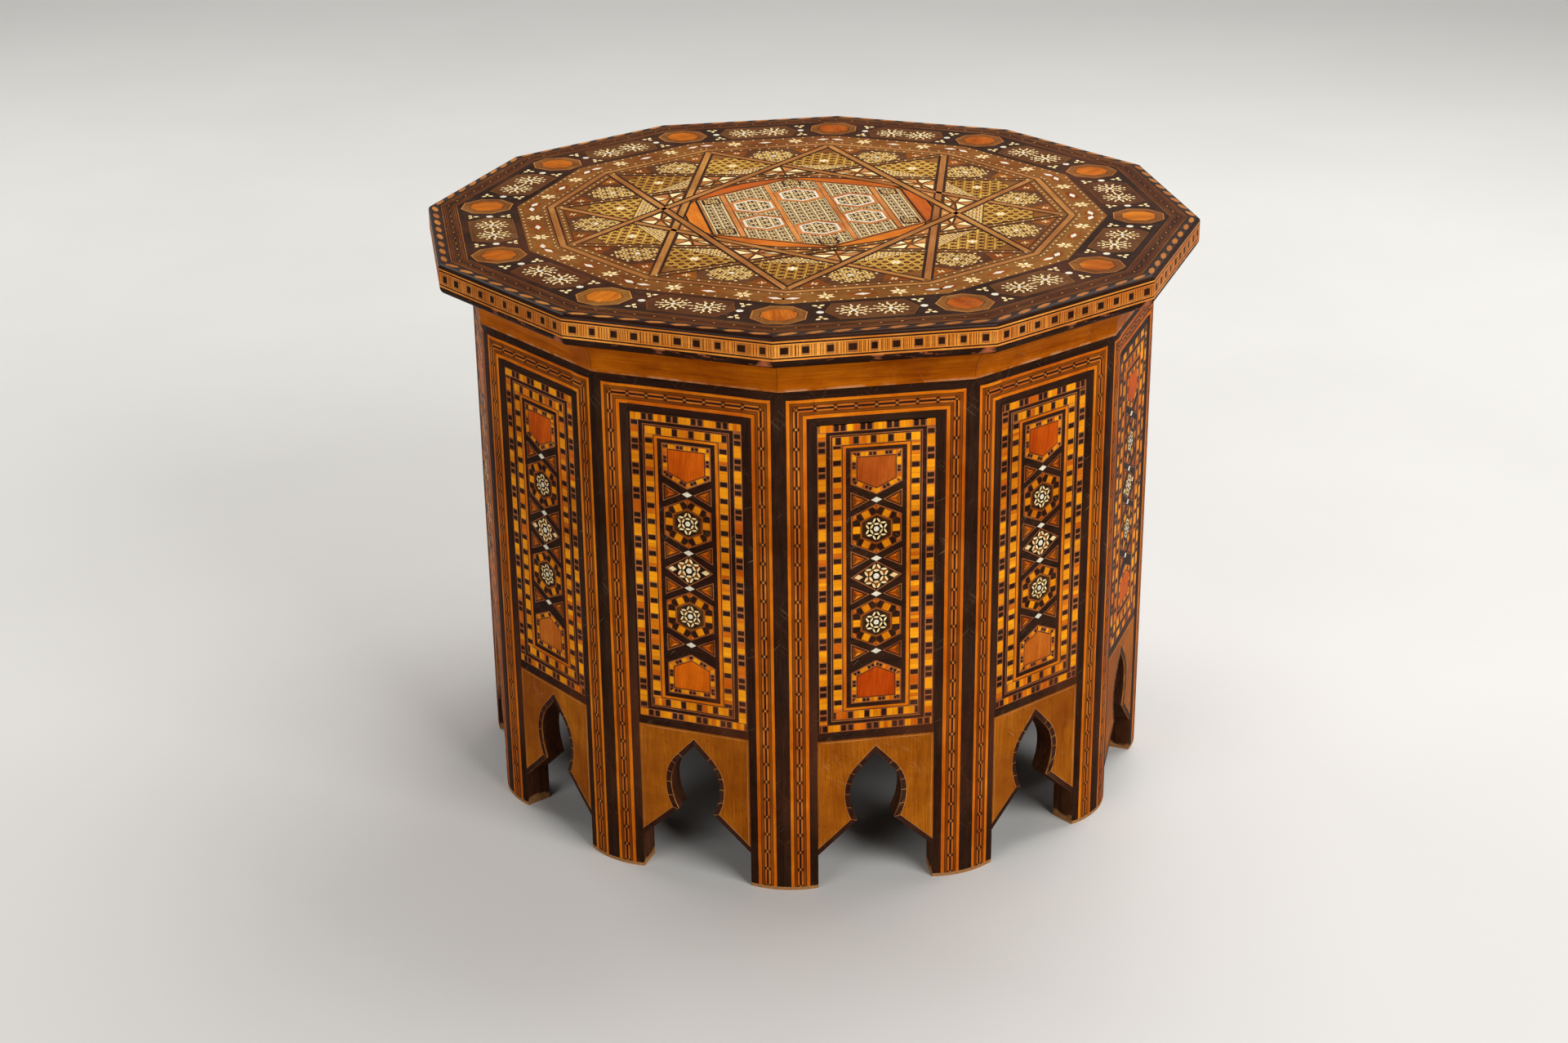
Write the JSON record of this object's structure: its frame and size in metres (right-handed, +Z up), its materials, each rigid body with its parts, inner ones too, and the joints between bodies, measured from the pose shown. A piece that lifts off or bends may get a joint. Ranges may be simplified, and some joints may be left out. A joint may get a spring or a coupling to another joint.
{
  "type": "inlaid side table",
  "caption": "Low twelve-sided side table with inlaid wood marquetry, arched side panels between rounded posts, a cove below and a star pattern over the flat top.",
  "frame": {"origin": "on the floor under the centre of the table", "axes": "+Z up along the table's axis, -Y out of the first side panel, the pictured front"},
  "size_m": [0.622, 0.622, 0.48],
  "materials": {
    "post_inlay": "dark inlaid banding under satin varnish",
    "panel_board": "dark stained board",
    "golden_wood": "golden fruitwood under satin varnish",
    "edge_inlay": "chequered inlay between dark lines under gloss varnish",
    "core_wood": "bare softwood",
    "panel_inlay": "chequered marquetry with bone and shell under satin varnish",
    "top_inlay": "fine geometric marquetry with bone and shell under gloss varnish",
    "roundel_inlay": "orange veneer with fine mosaic cells under gloss varnish",
    "border_inlay": "dark banding with thin orange lines under gloss varnish",
    "dark_edging": "dark segmented edging under satin varnish",
    "screw_steel": "dull steel"
  },
  "bodies": {
    "root": {"corner_post_01": "post_inlay", "corner_post_02": "post_inlay", "corner_post_03": "post_inlay", "corner_post_04": "post_inlay", "corner_post_05": "post_inlay", "corner_post_06": "post_inlay", "corner_post_07": "post_inlay", "corner_post_08": "post_inlay", "corner_post_09": "post_inlay", "corner_post_10": "post_inlay", "corner_post_11": "post_inlay", "corner_post_12": "post_inlay", "side_panel_01": "panel_board", "side_panel_02": "panel_board", "side_panel_03": "panel_board", "side_panel_04": "panel_board", "side_panel_05": "panel_board", "side_panel_06": "panel_board", "side_panel_07": "panel_board", "side_panel_08": "panel_board", "side_panel_09": "panel_board", "side_panel_10": "panel_board", "side_panel_11": "panel_board", "side_panel_12": "panel_board", "cove_rail_01": "golden_wood", "cove_rail_02": "golden_wood", "cove_rail_03": "golden_wood", "cove_rail_04": "golden_wood", "cove_rail_05": "golden_wood", "cove_rail_06": "golden_wood", "cove_rail_07": "golden_wood", "cove_rail_08": "golden_wood", "cove_rail_09": "golden_wood", "cove_rail_10": "golden_wood", "cove_rail_11": "golden_wood", "cove_rail_12": "golden_wood", "top_edge_strip_01": "edge_inlay", "top_edge_strip_02": "edge_inlay", "top_edge_strip_03": "edge_inlay", "top_edge_strip_04": "edge_inlay", "top_edge_strip_05": "edge_inlay", "top_edge_strip_06": "edge_inlay", "top_edge_strip_07": "edge_inlay", "top_edge_strip_08": "edge_inlay", "top_edge_strip_09": "edge_inlay", "top_edge_strip_10": "edge_inlay", "top_edge_strip_11": "edge_inlay", "top_edge_strip_12": "edge_inlay", "top_plank_left": "core_wood", "top_plank_middle": "core_wood", "top_plank_right": "core_wood", "top_battens": "core_wood", "top_border_banding": "border_inlay", "top_star_field": "top_inlay", "top_roundel": "roundel_inlay", "panel_marquetry": "panel_inlay", "spandrel_veneers": "golden_wood", "arch_edging": "dark_edging", "glue_blocks": "core_wood", "top_screws": "screw_steel"}
  },
  "joints": []
}
